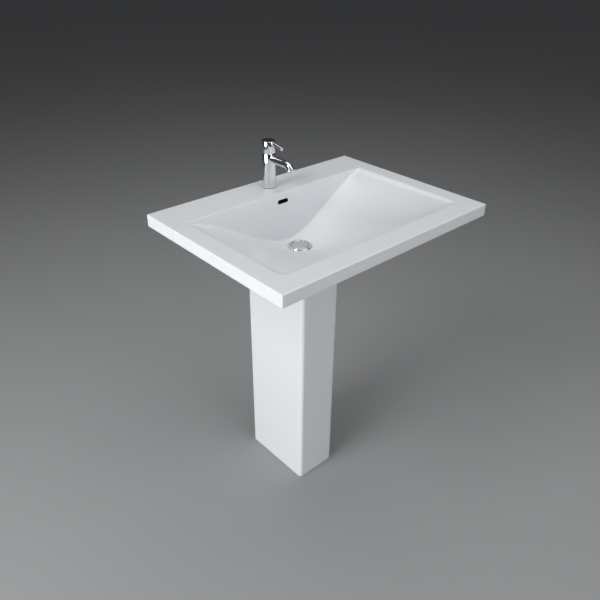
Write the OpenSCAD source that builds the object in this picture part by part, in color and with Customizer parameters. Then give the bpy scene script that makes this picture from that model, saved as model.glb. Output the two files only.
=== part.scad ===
// Pedestal basin with a pin-lever mixer tap, a push plug waste and a bottle trap.
// Origin: on the floor under the middle of the basin. +Z up, +Y towards the wall,
// +X to the right of a person who stands in front of it. Hot water is on the left.

/* [Basin] */
// Width of the basin along the wall
basin_w = 650; // [620:5:700]
// Depth of the basin from the wall to the front edge
basin_d = 480; // [474:2:490]
// Height of the rim above the floor
rim_z = 850; // [820:5:880]
// Height of the upright edge of the rim
apron_h = 30; // [26:1:40]
// Thickness of the china in the rim and the deck
china_t = 14; // [13:0.5:15]
// Plan radius of the basin corners
corner_r = 3.5; // [2:0.5:6]

/* [Bowl] */
// Width of the bowl opening
bowl_w = 566; // [540:2:580]
// Width of the rim in front of the bowl
front_rim = 49; // [44:1:54]
// Depth of the flat deck behind the bowl
deck_d = 100; // [98:1:102]
// Depth of the bowl at the waste
bowl_depth = 123; // [121:0.5:125]
// How far the rear wall of the bowl leans in per millimetre of depth
wall_lean = 0.2; // [0.15:0.01:0.22]
// Drop of the soft lip round the opening
lip_drop = 4; // [3:0.5:5]
// Width of the soft lip round the opening
lip_run = 14; // [12:1:16]
// Plan radius of the front corners of the opening
bowl_corner_r = 25; // [20:1:30]

/* [Waste and overflow] */
// Distance of the waste from the wall
drain_back = 169; // [168:0.5:170]
// Diameter of the hole for the waste
drain_hole_d = 46; // [45:0.5:47]
// Outer diameter of the chrome waste flange
flange_d = 62; // [60:1:64]
// Diameter of the plug
plug_d = 44; // [43:0.5:44]
// Width of the overflow slot
slot_w = 34; // [30:1:36]
// Height of the overflow slot
slot_h = 10; // [8:0.5:11]
// Distance of the overflow slot below the rim
slot_drop = 23; // [22:0.5:24]

/* [Wall and floor fixings] */
// Distance between the two wall bolts
fixing_pitch = 280; // [260:5:300]
// Diameter of the wall bolt holes
fixing_d = 14; // [10:1:16]
// Distance between the two floor screws of the pedestal
floor_pitch = 76; // [74:1:78]
// Diameter of the floor screw holes
floor_screw_d = 7; // [6:0.5:8]

/* [Pedestal] */
// Width of the pedestal
ped_w = 128; // [124:1:132]
// Depth of the pedestal
ped_d = 218; // [214:1:220]
// Gap between the pedestal and the wall
ped_gap = 33; // [30:1:35]
// Thickness of the pedestal walls
ped_t = 12; // [10:0.5:13]
// Radius of the upright front corners
ped_corner_r = 11; // [8:1:14]

/* [Tap] */
// Distance of the tap from the wall
tap_back = 50; // [50:0.5:51]
// Diameter of the tap body and of its handle
tap_d = 34.5; // [34:0.5:36]
// Diameter of the hole for the tap
tap_hole_d = 28; // [27:0.5:29]
// Height of the joint between body and handle above the deck
seam_h = 90; // [90:0.5:91]
// Height of the top of the handle above the deck
tap_h = 120; // [118:0.5:121]
// Outer diameter of the spout
spout_d = 18; // [17:0.5:18.5]
// Height of the middle of the spout above the deck
spout_h = 75.5; // [75:0.5:76]
// Length of the straight part of the spout, from the middle of the tap
spout_run = 66; // [60:1:75]
// Diameter of the pin lever
lever_d = 8; // [7:0.5:9]
// Distance of the tip of the lever from the middle of the tap
lever_reach = 52; // [46:1:60]

/* [Supply and trap] */
// Outer diameter of the copper tails
tail_d = 10; // [9:0.5:10]
// Distance of each isolating valve from the middle
valve_x = 32; // [31:0.5:33]
// Depth of the valves below the rim
valve_drop = 400; // [380:5:420]
// Outer diameter of the outlet pipe
outlet_d = 32; // [30:1:32]
// Depth of the outlet pipe below the rim
outlet_drop = 238; // [234:1:240]

/* [Hidden] */
$fn = 96;
over = 1;      // how far a cutter runs past the face it cuts
slip = 0.05;   // radial clearance of a running or push fit
air = 0.3;     // distance kept between pieces that move past each other
bend_step = 0.02; // a bend is this much thinner than the straight bar that it joins

wall_y = basin_d / 2;
front_y = -wall_y;
bowl_front_y = front_y + front_rim;
bowl_rear_y = wall_y - deck_d;
drain_y = wall_y - drain_back;
floor_z = rim_z - bowl_depth;
deck_z = rim_z - china_t;
tap_y = wall_y - tap_back;
slot_z = rim_z - slot_drop;

// pedestal and the collar that stands on it
ped_back_y = wall_y - ped_gap;
ped_front_y = ped_back_y - ped_d;
collar_z = rim_z - 150;
pad_t = 2;
ped_top = collar_z - pad_t;
ped_return = 5;
lug_h = 12;
lug_y = ped_back_y - 50;

// wall panel behind the basin
panel_w = 380;
panel_t = 14;
panel_z = rim_z - 145;
fixing_z = rim_z - 80;
window_w = ped_w - 2 * ped_t;
window_z = rim_z - 28;

// boss round the waste and channel of the overflow
boss_r = 35;
boss_z = floor_z - 34;
duct_w = 40;
duct_y = bowl_rear_y + 14;
duct_t = 9;
duct_wall = 6;
duct_floor_z = boss_z + 10;
seat_z = floor_z - 1;

// waste
waste_r = 21;
waste_bore_r = 16;
flange_t = 3;
plug_seat_z = floor_z - 2.5;
plug_gap_r = plug_d / 2 + air;
bottom_seal_t = 4;
back_nut_h = 8;
back_nut_z = boss_z - bottom_seal_t - back_nut_h;
waste_end_z = floor_z - 77;
guide_z = duct_floor_z - 13;
guide_h = 10;

// trap
outlet_z = rim_z - outlet_drop;
trap_top_z = waste_end_z - 14;
trap_nut_r = 27;
trap_head_r = 24;
trap_head_z = outlet_z - 27;
cup_r = 30;
cup_z = outlet_z - 102;
cup_t = 2.5;
dip_end_z = cup_z + 30;
outlet_nut_y = drain_y + 32;
outlet_free = 110;

// tap, measured from the deck and from the tap's own axis
tap_r = tap_d / 2;
pivot_h = seam_h + 10;
cup_ball_r = sqrt(pow(tap_r, 2) + 100) + 0.1;
handle_ball_r = cup_ball_r - air;
body_top_h = seam_h - 0.4;
seal_t = 1;
chamber_r = 12.6;
chamber_h = 50;
housing_top_h = 75;
nut_top_h = 81;
rotor_r = 7.5;
rotor_h = 60;
rotor_top_h = pivot_h + 2.5;
hinge_pin_r = 1.5;
stem_w = 6;
stem_low_h = pivot_h - 12;
stem_top_h = pivot_h + 13;
shell_r = tap_r - 2.75;
shell_top_h = pivot_h + 6;
lever_tilt = 10;
lever_root_h = pivot_h + 14.6;
lever_root_s = 20;
grub_h = pivot_h + 10;

// spout
spout_r = spout_d / 2;
spout_bore_r = spout_r - 2.5;
spout_socket_s = 14.5;
spout_bend_r = 20;
spout_bend_a = 50;
spout_nose = 5;
sleeve_len = 8;
sleeve_r = spout_r + 0.6;

// fixing under the deck
stud_r = 4;
stud_back = 8;
washer_r = 19;
horseshoe_w = 25;
rubber_t = 3;
washer_t = 2;
stud_nut_h = 8;

// copper tails and valves
tail_x = 7;
tail_y = tap_y - 4;
tail_wall = 0.7;
tail_in = 10;
tail_bend_r = 30;
tail_bend_a = 30;
tail_bend_z = rim_z - 60;
valve_z = rim_z - valve_drop;
valve_r = 9;
valve_half = 22;
ball_r = 6.2;
ball_bore_r = 4;
spindle_r = 3;
pipe_r = 7.5;
pipe_socket = 16;
inlet_nut_h = 14;
tail_nut_h = 12;

white = [0.95, 0.95, 0.94];
chrome = [0.82, 0.83, 0.85];
copper = [0.72, 0.42, 0.28];
brass = [0.78, 0.63, 0.32];
rubber = [0.10, 0.10, 0.11];
plastic = [0.90, 0.90, 0.88];

// ---------- shapes that repeat ----------

// Rectangle from [x0, y0] to [x1, y1] with a radius at its front and at its rear corners
module round_rect(x0, x1, y0, y1, front_r, back_r) {
    translate([x0 + front_r, y0]) square([x1 - x0 - 2 * front_r, front_r + over]);
    translate([x0, y0 + front_r]) square([x1 - x0, y1 - y0 - front_r - back_r]);
    translate([x0 + back_r, y1 - back_r - over]) square([x1 - x0 - 2 * back_r, back_r + over]);
    for (x = [x0 + front_r, x1 - front_r]) translate([x, y0 + front_r]) circle(front_r);
    for (x = [x0 + back_r, x1 - back_r]) translate([x, y1 - back_r]) circle(back_r);
}

// Box between two corners
module block(a, b) {
    translate(a) cube(b - a);
}

// Upright ring or tube from z0 to z1
module ring(outer_r, inner_r, z0, z1) {
    difference() {
        translate([0, 0, z0]) cylinder(r = outer_r, h = z1 - z0);
        translate([0, 0, z0 - over]) cylinder(r = inner_r, h = z1 - z0 + 2 * over);
    }
}

// Upright six-sided nut from z0 to z1, given across its flats
module hex_nut(flats, inner_r, z0, z1) {
    difference() {
        translate([0, 0, z0]) cylinder(d = flats / cos(30), h = z1 - z0, $fn = 6);
        translate([0, 0, z0 - over]) cylinder(r = inner_r, h = z1 - z0 + 2 * over);
    }
}

// Rod along +Y from y0 to y1
module rod_y(r, y0, y1) {
    translate([0, y0, 0]) rotate([-90, 0, 0]) cylinder(r = r, h = y1 - y0);
}

// Arc of a round bar in the XZ plane, from angle a over da degrees
module arc_xz(centre, bend_r, a, da, r) {
    translate([centre[0], 0, centre[1]])
        rotate([90, 0, 0])
            rotate([0, 0, a])
                rotate_extrude(angle = da)
                    translate([bend_r, 0])
                        circle(r - bend_step);
}

// Puts a piece on the deck at the tap's axis
module at_tap() {
    translate([0, tap_y, rim_z]) children();
}

// Puts a piece on the axis of the waste
module at_drain() {
    translate([0, drain_y, 0]) children();
}

// Puts a piece at one isolating valve: side -1 is hot, side 1 is cold
module at_valve(side) {
    translate([side * valve_x, tail_y, valve_z]) children();
}

// ---------- bowl surface ----------

function ease(t) = t <= 0 ? 0 : t >= 1 ? 1 : t * t * (3 - 2 * t);

// Share of the full fall across the width: 1 in the middle, 0 at the sides
fall_round = 0.25;
fall_span = sqrt(1 + pow(fall_round, 2));
function cross_fall(u) =
    0.25 * (1 + cos(180 * u))
    + 0.5 * (fall_span - sqrt(u * u + pow(fall_round, 2))) / (fall_span - fall_round);

// Share of the full fall from front to back: 0 at the front edge, 1 at the waste
straight_part = 0.7;
fall_rate = 2 / (1 + straight_part);
function long_fall(v) =
    v <= straight_part ? fall_rate * v
    : v <= 1 ? 1 - fall_rate * pow(1 - v, 2) / (2 * (1 - straight_part))
    : 1 - 0.9 * pow(v - 1, 2);

// Half width of the opening at y, with its rounded front corners
function half_w(y) =
    let (k = bowl_corner_r - (y - bowl_front_y))
    bowl_w / 2 - (k <= 0 ? 0 : bowl_corner_r - sqrt(max(0, pow(bowl_corner_r, 2) - k * k)));

// Line in plan where the rear wall meets the floor
function foot_y(u) = bowl_rear_y - wall_lean * (lip_drop + (bowl_depth - lip_drop) * cross_fall(u));

// Depth of the floor below the rim
function depth(u, y) =
    let (s = min(half_w(y) * (1 - abs(u)), y - bowl_front_y))
    lip_drop * ease(s / lip_run)
    + (bowl_depth - lip_drop) * cross_fall(u) * long_fall((y - bowl_front_y) / (drain_y - bowl_front_y));

// Steps of 0 to 1 with short first steps over the lip, along a length
function lip_steps(n, length) =
    let (lip = lip_run / length)
    concat([for (i = [0:3]) lip * i / 4], [for (i = [0:n]) lip + (1 - lip) * i / n]);

// Closed form of the bowl from its floor up to top_z. grow widens it and drop lowers its floor.
module bowl_form(grow, drop, top_z, n_half, n_long) {
    half = [for (t = lip_steps(n_half, bowl_w / 2)) 1 - t];
    us = concat([for (u = half) -u], [for (i = [len(half) - 2:-1:0]) half[i]]);
    ts = lip_steps(n_long, bowl_rear_y - bowl_front_y);
    nu = len(us);
    nt = len(ts);
    rise = grow == 0 ? 0.3 : 0;
    floor_points = [
        for (t = ts, u = us)
            let (y = bowl_front_y + t * (foot_y(u) - bowl_front_y))
            let (edge = t == 0 || abs(u) == 1)
            [
                u * (half_w(y) + grow),
                y + grow * (2 * t - 1),
                rim_z - depth(u, y) - drop + (edge ? rise : 0)
            ]
    ];
    rim_index = concat(
        [for (i = [0:nu - 1]) i],
        [for (j = [1:nt - 1]) j * nu + nu - 1],
        [for (i = [nu - 2:-1:0]) (nt - 1) * nu + i],
        [for (j = [nt - 2:-1:1]) j * nu]
    );
    n_rim = len(rim_index);
    lean = wall_lean * (top_z - rim_z);
    rim_points = [
        for (k = rim_index)
            let (p = floor_points[k])
            k >= (nt - 1) * nu ? [p[0], bowl_rear_y + grow + lean, top_z] : [p[0], p[1], top_z]
    ];
    n_floor = nu * nt;
    floor_faces = [
        for (j = [0:nt - 2], i = [0:nu - 2])
            let (a = j * nu + i, b = a + 1, c = b + nu, d = a + nu)
            each (us[i] < 0 ? [[a, b, c], [a, c, d]] : [[a, b, d], [b, c, d]])
    ];
    side_faces = [
        for (k = [0:n_rim - 1])
            let (m = (k + 1) % n_rim)
            each [
                [rim_index[k], n_floor + k, n_floor + m],
                [rim_index[k], n_floor + m, rim_index[m]]
            ]
    ];
    top_face = [for (k = [n_rim - 1:-1:0]) n_floor + k];
    polyhedron(concat(floor_points, rim_points), concat(floor_faces, side_faces, [top_face]), 4);
}

// ---------- basin and pedestal ----------

// Plan of the pedestal's hollow section, open at the back
module ped_plan(back_y, back_return) {
    difference() {
        round_rect(-ped_w / 2, ped_w / 2, ped_front_y, back_y, ped_corner_r, 2);
        round_rect(
            -ped_w / 2 + ped_t, ped_w / 2 - ped_t,
            ped_front_y + ped_t, back_y - (back_return > 0 ? ped_t : -10), 4, 2
        );
        translate([-ped_w / 2 + ped_t + back_return, ped_back_y - 3 * ped_t])
            square([ped_w - 2 * (ped_t + back_return), 4 * ped_t]);
    }
}

// Side web that braces one end of the wall panel, as an outline in the YZ plane
module panel_web() {
    polygon([
        [wall_y - panel_t, panel_z],
        [wall_y, panel_z],
        [wall_y, deck_z + over],
        [bowl_rear_y + 8, deck_z + over],
        [bowl_rear_y + 8, rim_z - 45]
    ]);
}

module basin_solid() {
    translate([0, 0, deck_z])
        linear_extrude(china_t)
            round_rect(-basin_w / 2, basin_w / 2, front_y, wall_y, corner_r, corner_r);
    // hanging edge of the rim
    translate([0, 0, rim_z - apron_h])
        linear_extrude(apron_h - china_t + over)
            difference() {
                round_rect(-basin_w / 2, basin_w / 2, front_y, wall_y, corner_r, corner_r);
                round_rect(
                    -basin_w / 2 + china_t, basin_w / 2 - china_t,
                    front_y + china_t, wall_y - china_t, corner_r, corner_r
                );
            }
    bowl_form(china_t, china_t + 1.5, deck_z + 5, 8, 10);
    at_drain() translate([0, 0, boss_z]) cylinder(r = boss_r, h = 28);
    // walls of the overflow channel
    block([-duct_w / 2 - duct_wall, drain_y, boss_z],
          [duct_w / 2 + duct_wall, duct_y + duct_t + duct_wall, floor_z - 4]);
    block([-duct_w / 2 - duct_wall, bowl_rear_y - 20, boss_z],
          [duct_w / 2 + duct_wall, duct_y + duct_t + duct_wall, deck_z + over]);
    // collar that stands on the pedestal
    translate([0, 0, collar_z])
        linear_extrude(deck_z + over - collar_z)
            ped_plan(wall_y - panel_t + over, 0);
    // panel against the wall with a web at each end
    block([-panel_w / 2, wall_y - panel_t, panel_z], [panel_w / 2, wall_y, deck_z + over]);
    for (x = [-panel_w / 2, panel_w / 2 - 12])
        translate([x, 0, 0])
            rotate([90, 0, 90])
                linear_extrude(12)
                    panel_web();
}

// Straight slot with round ends that runs along +Y
module slot_y(w, h, y0, y1) {
    translate([-(w - h) / 2, 0, 0]) rod_y(h / 2, y0, y1);
    translate([(w - h) / 2, 0, 0]) rod_y(h / 2, y0, y1);
    block([-(w - h) / 2, y0, -h / 2], [(w - h) / 2, y1, h / 2]);
}

module basin() {
    color(white)
        difference() {
            basin_solid();
            bowl_form(0, 0, rim_z + 2, 14, 16);
            at_drain() {
                translate([0, 0, boss_z - over]) cylinder(d = drain_hole_d, h = bowl_depth);
                translate([0, 0, seat_z]) cylinder(r = flange_d / 2 + 1, h = 12);
                translate([0, 0, floor_z]) cylinder(r1 = flange_d / 2 + 1, r2 = 52, h = 12);
            }
            // overflow: slot, upright channel and passage to the waste hole
            translate([0, 0, slot_z]) slot_y(slot_w, slot_h, bowl_rear_y - 30, duct_y + duct_t / 2);
            block([-duct_w / 2, duct_y, duct_floor_z], [duct_w / 2, duct_y + duct_t, slot_z + 7]);
            block([-12, drain_y, duct_floor_z], [12, duct_y + duct_t / 2, duct_floor_z + 10]);
            at_tap() translate([0, 0, -china_t - over]) cylinder(d = tap_hole_d, h = china_t + 2 * over);
            for (x = [-fixing_pitch / 2, fixing_pitch / 2])
                translate([x, 0, fixing_z]) rod_y(fixing_d / 2, wall_y - panel_t - over, wall_y + over);
            // window for the pipes in the middle of the wall panel
            block([-window_w / 2, wall_y - panel_t - over, panel_z - over],
                  [window_w / 2, wall_y + over, window_z]);
        }
}

module pedestal() {
    color(white)
        difference() {
            union() {
                linear_extrude(ped_top) ped_plan(ped_back_y, ped_return);
                // lugs for the floor screws
                for (side = [-1, 1])
                    block([min(side * 28, side * (ped_w / 2 - 2)), lug_y - 14, 0],
                          [max(side * 28, side * (ped_w / 2 - 2)), lug_y + 14, lug_h]);
            }
            for (x = [-floor_pitch / 2, floor_pitch / 2])
                translate([x, lug_y, -over]) cylinder(d = floor_screw_d, h = lug_h + 2 * over);
        }
}

// Soft strips between the pedestal and the basin
module pedestal_pads() {
    color(rubber)
        for (x = [-ped_w / 2 + 1, ped_w / 2 - ped_t + 1])
            block([x, ped_front_y + 25, ped_top], [x + ped_t - 2, ped_back_y - 25, collar_z]);
}

// ---------- tap ----------

module tap_base_seal() {
    color(rubber) at_tap() ring(tap_r - 0.6, tap_hole_d / 2 - 0.5, 0, seal_t);
}

module tap_body() {
    color(chrome)
        at_tap()
            difference() {
                translate([0, 0, seal_t]) cylinder(r = tap_r, h = body_top_h - seal_t);
                translate([0, 0, pivot_h]) sphere(cup_ball_r);
                translate([0, 0, chamber_h]) cylinder(r = chamber_r, h = tap_h);
                // waterways, stud hole and sockets of the tails
                for (x = [-tail_x, tail_x]) translate([x, tail_y - tap_y, 0]) {
                    cylinder(r = tail_d / 2 + slip, h = seal_t + tail_in);
                    cylinder(r = 3, h = chamber_h + over);
                }
                translate([0, stud_back, 0]) cylinder(r = stud_r + slip, h = 14);
                translate([0, 0, spout_h]) rod_y(spout_r + slip, -tap_d, -spout_socket_s);
                translate([0, 0, spout_h - 3]) rod_y(3, -tap_r, 0);
            }
}

// Point on the spout's bend, a degrees after its start, as a place for a piece with +Z along the water
module at_bend(a) {
    translate([spout_run + spout_bend_r * sin(a), 0, spout_h - spout_bend_r * (1 - cos(a))])
        rotate([0, 90 + a, 0])
            children();
}

// Straight arm, bend and nose of the spout, which points to -Y
module spout() {
    bend_start = [spout_run, spout_h - spout_bend_r];
    color(chrome)
        at_tap()
            rotate([0, 0, -90])
                difference() {
                    union() {
                        translate([spout_socket_s, 0, spout_h])
                            rotate([0, 90, 0])
                                cylinder(r = spout_r, h = spout_run - spout_socket_s);
                        arc_xz(bend_start, spout_bend_r, 90 - spout_bend_a, spout_bend_a, spout_r);
                        at_bend(spout_bend_a) cylinder(r = spout_r, h = spout_nose - 2);
                    }
                    translate([spout_socket_s - over, 0, spout_h])
                        rotate([0, 90, 0])
                            cylinder(r = spout_bore_r, h = spout_run + 5 - spout_socket_s);
                    at_bend(spout_bend_a / 2) sphere(spout_bore_r);
                    at_bend(spout_bend_a)
                        translate([0, 0, -8])
                            cylinder(r = spout_bore_r - air, h = 8 + spout_nose);
                }
}

module aerator_sleeve() {
    color(chrome)
        at_tap()
            rotate([0, 0, -90])
                at_bend(spout_bend_a)
                    difference() {
                        translate([0, 0, spout_nose - 4]) cylinder(r = sleeve_r, h = sleeve_len - 2);
                        translate([0, 0, -over]) cylinder(r = spout_r + slip, h = spout_nose - 2 + over);
                        cylinder(r = spout_r - 1.4, h = sleeve_len + over);
                    }
}

// Perforated disc that mixes air into the water
module aerator_insert() {
    color(plastic)
        at_tap()
            rotate([0, 0, -90])
                at_bend(spout_bend_a)
                    difference() {
                        translate([0, 0, spout_nose - 1.8]) cylinder(r = spout_r - 1.5, h = 2.8);
                        for (ring_r = [0, 2.6, 5.2], a = [0:ring_r == 0 ? 360 : 156 / ring_r:359])
                            rotate([0, 0, a])
                                translate([ring_r, 0, 0])
                                    cylinder(r = 0.8, h = sleeve_len, $fn = 16);
                    }
}

module cartridge_housing() {
    color(plastic)
        at_tap()
            difference() {
                translate([0, 0, chamber_h]) cylinder(r = chamber_r - slip, h = housing_top_h - chamber_h);
                translate([0, 0, rotor_h]) cylinder(r = rotor_r + slip, h = housing_top_h);
                for (x = [-tail_x, tail_x])
                    translate([x, tail_y - tap_y, chamber_h - over]) cylinder(r = 2.5, h = 20);
                translate([0, 0, spout_h - 3]) rod_y(3, -tap_r, 0);
            }
}

module cartridge_nut() {
    color(brass) at_tap() ring(chamber_r - slip, rotor_r + air, housing_top_h, nut_top_h);
}

// Turning part of the cartridge, forked at the top for the stem
module cartridge_rotor() {
    color(plastic)
        at_tap()
            difference() {
                translate([0, 0, rotor_h + slip]) cylinder(r = rotor_r, h = rotor_top_h - rotor_h - slip);
                block([-stem_w / 2 - air, -tap_r, stem_low_h - 3], [stem_w / 2 + air, tap_r, tap_h]);
                translate([-tap_r, 0, pivot_h]) rotate([0, 90, 0]) cylinder(r = hinge_pin_r, h = tap_d);
            }
}

module hinge_pin() {
    color(chrome)
        at_tap()
            translate([-rotor_r + 0.2, 0, pivot_h])
                rotate([0, 90, 0])
                    cylinder(r = hinge_pin_r, h = 2 * rotor_r - 0.4);
}

module cartridge_stem() {
    color(brass)
        at_tap()
            difference() {
                block([-stem_w / 2, -stem_w / 2, stem_low_h], [stem_w / 2, stem_w / 2, stem_top_h]);
                translate([-tap_r, 0, pivot_h])
                    rotate([0, 90, 0])
                        cylinder(r = hinge_pin_r + slip, h = tap_d);
            }
}

module lever_bar(r, s0, s1) {
    rotate([0, 0, -90])
        translate([lever_root_s, 0, lever_root_h])
            rotate([0, 90 + lever_tilt, 0])
                translate([0, 0, s0 - lever_root_s])
                    cylinder(r = r, h = s1 - s0);
}

module handle_drum() {
    color(chrome)
        at_tap()
            difference() {
                union() {
                    translate([0, 0, pivot_h]) cylinder(r = tap_r, h = tap_h - pivot_h);
                    intersection() {
                        translate([0, 0, seam_h - 5]) cylinder(r = tap_r, h = pivot_h - seam_h + 5);
                        translate([0, 0, pivot_h]) sphere(handle_ball_r);
                    }
                }
                translate([0, 0, seam_h - 12]) cylinder(r = shell_r, h = shell_top_h - seam_h + 12);
                block([-stem_w / 2 - slip, -stem_w / 2 - slip, pivot_h],
                      [stem_w / 2 + slip, stem_w / 2 + slip, stem_top_h + 0.5]);
                lever_bar(lever_d / 2 - 1, 8, lever_root_s);
                translate([0, 0, grub_h]) rod_y(2, 0, tap_d);
                translate([0, 0, grub_h]) rod_y(2.6, tap_r - 1.6, tap_d);
            }
}

module handle_lever() {
    color(chrome)
        at_tap() {
            difference() {
                lever_bar(lever_d / 2, 12, lever_reach / cos(lever_tilt));
                cylinder(r = tap_r, h = tap_h);
            }
            lever_bar(lever_d / 2 - 1, 8.2, 18);
        }
}

module handle_grub_screw() {
    color(chrome) at_tap() translate([0, 0, grub_h]) rod_y(2 - slip, stem_w / 2, tap_r - 4);
}

// Small plug over the grub screw that shows hot and cold
module indicator_plug() {
    color("crimson") at_tap() translate([0, 0, grub_h]) rod_y(2.6 - slip, tap_r - 1.6, tap_r - 0.3);
}

// ---------- tap fixing under the deck ----------

module fixing_stud() {
    color(brass) at_tap() translate([0, stud_back, -62]) cylinder(r = stud_r, h = 62 + 13);
}

// Horseshoe plate from z0 to z1, open to the front for the tails
module horseshoe(z0, z1) {
    at_tap()
        difference() {
            translate([0, 0, z0]) cylinder(r = washer_r, h = z1 - z0);
            block([-horseshoe_w / 2, -washer_r - over, z0 - over], [horseshoe_w / 2, 1, z1 + over]);
            translate([0, stud_back, z0 - over]) cylinder(r = stud_r + slip, h = z1 - z0 + 2 * over);
        }
}

module fixing_rubber() {
    color(rubber) horseshoe(-china_t - rubber_t, -china_t);
}

module fixing_washer() {
    color(chrome) horseshoe(-china_t - rubber_t - washer_t, -china_t - rubber_t);
}

module fixing_nut() {
    top = -china_t - rubber_t - washer_t;
    color(brass) at_tap() translate([0, stud_back, 0]) hex_nut(13, stud_r + slip, top - stud_nut_h, top);
}

// ---------- supply ----------

// Centre line of the cold tail as a round bar, from z_top down to z_end with a set-off to the valve
module tail_path(r, z_top, z_end) {
    run = (valve_x - tail_x - 2 * tail_bend_r * (1 - cos(tail_bend_a))) / sin(tail_bend_a);
    low_z = tail_bend_z - 2 * tail_bend_r * sin(tail_bend_a) - run * cos(tail_bend_a);
    translate([tail_x, 0, tail_bend_z]) cylinder(r = r, h = z_top - tail_bend_z);
    arc_xz([tail_x + tail_bend_r, tail_bend_z], tail_bend_r, 180, tail_bend_a, r);
    translate([
        tail_x + tail_bend_r * (1 - cos(tail_bend_a)),
        0,
        tail_bend_z - tail_bend_r * sin(tail_bend_a)
    ])
        rotate([0, 180 - tail_bend_a, 0])
            cylinder(r = r, h = run);
    arc_xz([valve_x - tail_bend_r, low_z], tail_bend_r, 0, tail_bend_a, r);
    translate([valve_x, 0, z_end]) cylinder(r = r, h = low_z - z_end);
}

module tail() {
    top = rim_z + seal_t + tail_in;
    bottom = valve_z + valve_half - 12;
    color(copper)
        translate([0, tail_y, 0])
            difference() {
                tail_path(tail_d / 2, top, bottom);
                tail_path(tail_d / 2 - tail_wall, top + over, bottom - over);
            }
}

module tail_hot() {
    mirror([1, 0, 0]) tail();
}

module tail_cold() {
    tail();
}

module tail_nuts() {
    color(brass)
        for (side = [-1, 1])
            at_valve(side) hex_nut(16, tail_d / 2 + slip, valve_half, valve_half + tail_nut_h);
}

// Body of a quarter-turn isolating valve: tail in at the top, 15 mm pipe in from below
module valve_body() {
    color(brass)
        difference() {
            union() {
                translate([0, 0, -valve_half]) cylinder(r = valve_r + 1.5, h = pipe_socket + 1);
                translate([0, 0, -6]) cylinder(r = valve_r, h = valve_half + 6);
                translate([0, 0, -7]) cylinder(d = 21, h = 14, $fn = 6);
            }
            sphere(ball_r + air);
            translate([0, 0, 0]) cylinder(r = ball_bore_r, h = valve_half + over);
            translate([0, 0, valve_half - 12]) cylinder(r = tail_d / 2 + slip, h = 12 + over);
            translate([0, 0, -valve_half]) cylinder(r = ball_bore_r, h = valve_half);
            translate([0, 0, -valve_half - over]) cylinder(r = pipe_r + slip, h = pipe_socket - 2 + over);
            rod_y(spindle_r + slip, 0, 2 * valve_r);
        }
}

module valve_ball() {
    color(chrome)
        difference() {
            sphere(ball_r);
            translate([0, 0, -ball_r - over]) cylinder(r = ball_bore_r, h = 2 * (ball_r + over));
            block([-1, ball_r - 1.5, -2.5], [1, ball_r + over, 2.5]);
        }
}

// Slotted spindle that turns the ball, facing the open back of the pedestal
module valve_spindle() {
    color(brass)
        difference() {
            union() {
                rod_y(spindle_r, ball_r + slip, 11.4);
                block([-0.95, ball_r - 1.4, -2.4], [0.95, ball_r + 1, 2.4]);
            }
            block([-spindle_r - over, 10, -0.5], [spindle_r + over, 12, 0.5]);
        }
}

module valve_body_hot() { at_valve(-1) valve_body(); }
module valve_body_cold() { at_valve(1) valve_body(); }
module valve_ball_hot() { at_valve(-1) valve_ball(); }
module valve_ball_cold() { at_valve(1) valve_ball(); }
module valve_spindle_hot() { at_valve(-1) valve_spindle(); }
module valve_spindle_cold() { at_valve(1) valve_spindle(); }

module inlet_nuts() {
    color(brass)
        for (side = [-1, 1])
            at_valve(side) hex_nut(24, pipe_r + slip, -valve_half - inlet_nut_h, -valve_half);
}

// ---------- waste ----------

module waste_body() {
    color(chrome)
        at_drain()
            difference() {
                union() {
                    translate([0, 0, floor_z]) cylinder(r1 = flange_d / 2, r2 = flange_d / 2 - 2, h = flange_t);
                    translate([0, 0, waste_end_z]) cylinder(r = waste_r, h = floor_z - waste_end_z + over);
                    translate([0, 0, floor_z - 6]) cylinder(r = drain_hole_d / 2 - 0.2, h = 7);
                }
                translate([0, 0, waste_end_z - over]) cylinder(r = waste_bore_r, h = bowl_depth);
                translate([0, 0, plug_seat_z]) cylinder(r = plug_gap_r, h = 10);
                // inlets of the overflow water, front and back
                block([-10, -waste_r - over, duct_floor_z], [10, waste_r + over, duct_floor_z + 9]);
            }
}

module waste_top_seal() {
    color(rubber) at_drain() ring(flange_d / 2 - 1, drain_hole_d / 2, seat_z, floor_z);
}

module waste_bottom_seal() {
    color(rubber) at_drain() ring(boss_r - 4, waste_r + slip, boss_z - bottom_seal_t, boss_z);
}

module waste_back_nut() {
    color(chrome) at_drain() hex_nut(50, waste_r + slip, back_nut_z, back_nut_z + back_nut_h);
}

module plug_head() {
    color(chrome)
        at_drain()
            difference() {
                union() {
                    translate([0, 0, plug_seat_z + 0.5]) cylinder(d = plug_d, h = 4.5);
                    translate([0, 0, plug_seat_z + 5]) cylinder(d1 = plug_d, d2 = plug_d - 3, h = 0.8);
                }
                translate([0, 0, plug_seat_z - over]) cylinder(r = 3.5 + slip, h = 4);
            }
}

module plug_seal() {
    color(rubber) at_drain() ring(waste_bore_r - air, 3.5 + slip, plug_seat_z - 2.5, plug_seat_z + 0.5);
}

module plug_spindle() {
    color(chrome) at_drain() translate([0, 0, guide_z - 4]) cylinder(r = 3.5, h = plug_seat_z + 3 - guide_z + 4);
}

// Cross that guides the spindle inside the waste
module plug_guide() {
    color(brass)
        at_drain()
            difference() {
                union() {
                    ring(waste_bore_r, waste_bore_r - 2, guide_z, guide_z + guide_h);
                    for (a = [0, 60, 120])
                        rotate([0, 0, a])
                            block([-waste_bore_r + 1, -1, guide_z], [waste_bore_r - 1, 1, guide_z + guide_h]);
                    translate([0, 0, guide_z]) cylinder(r = 6, h = guide_h);
                }
                translate([0, 0, guide_z - over]) cylinder(r = 3.5 + slip, h = guide_h + 2 * over);
            }
}

// ---------- trap ----------

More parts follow.
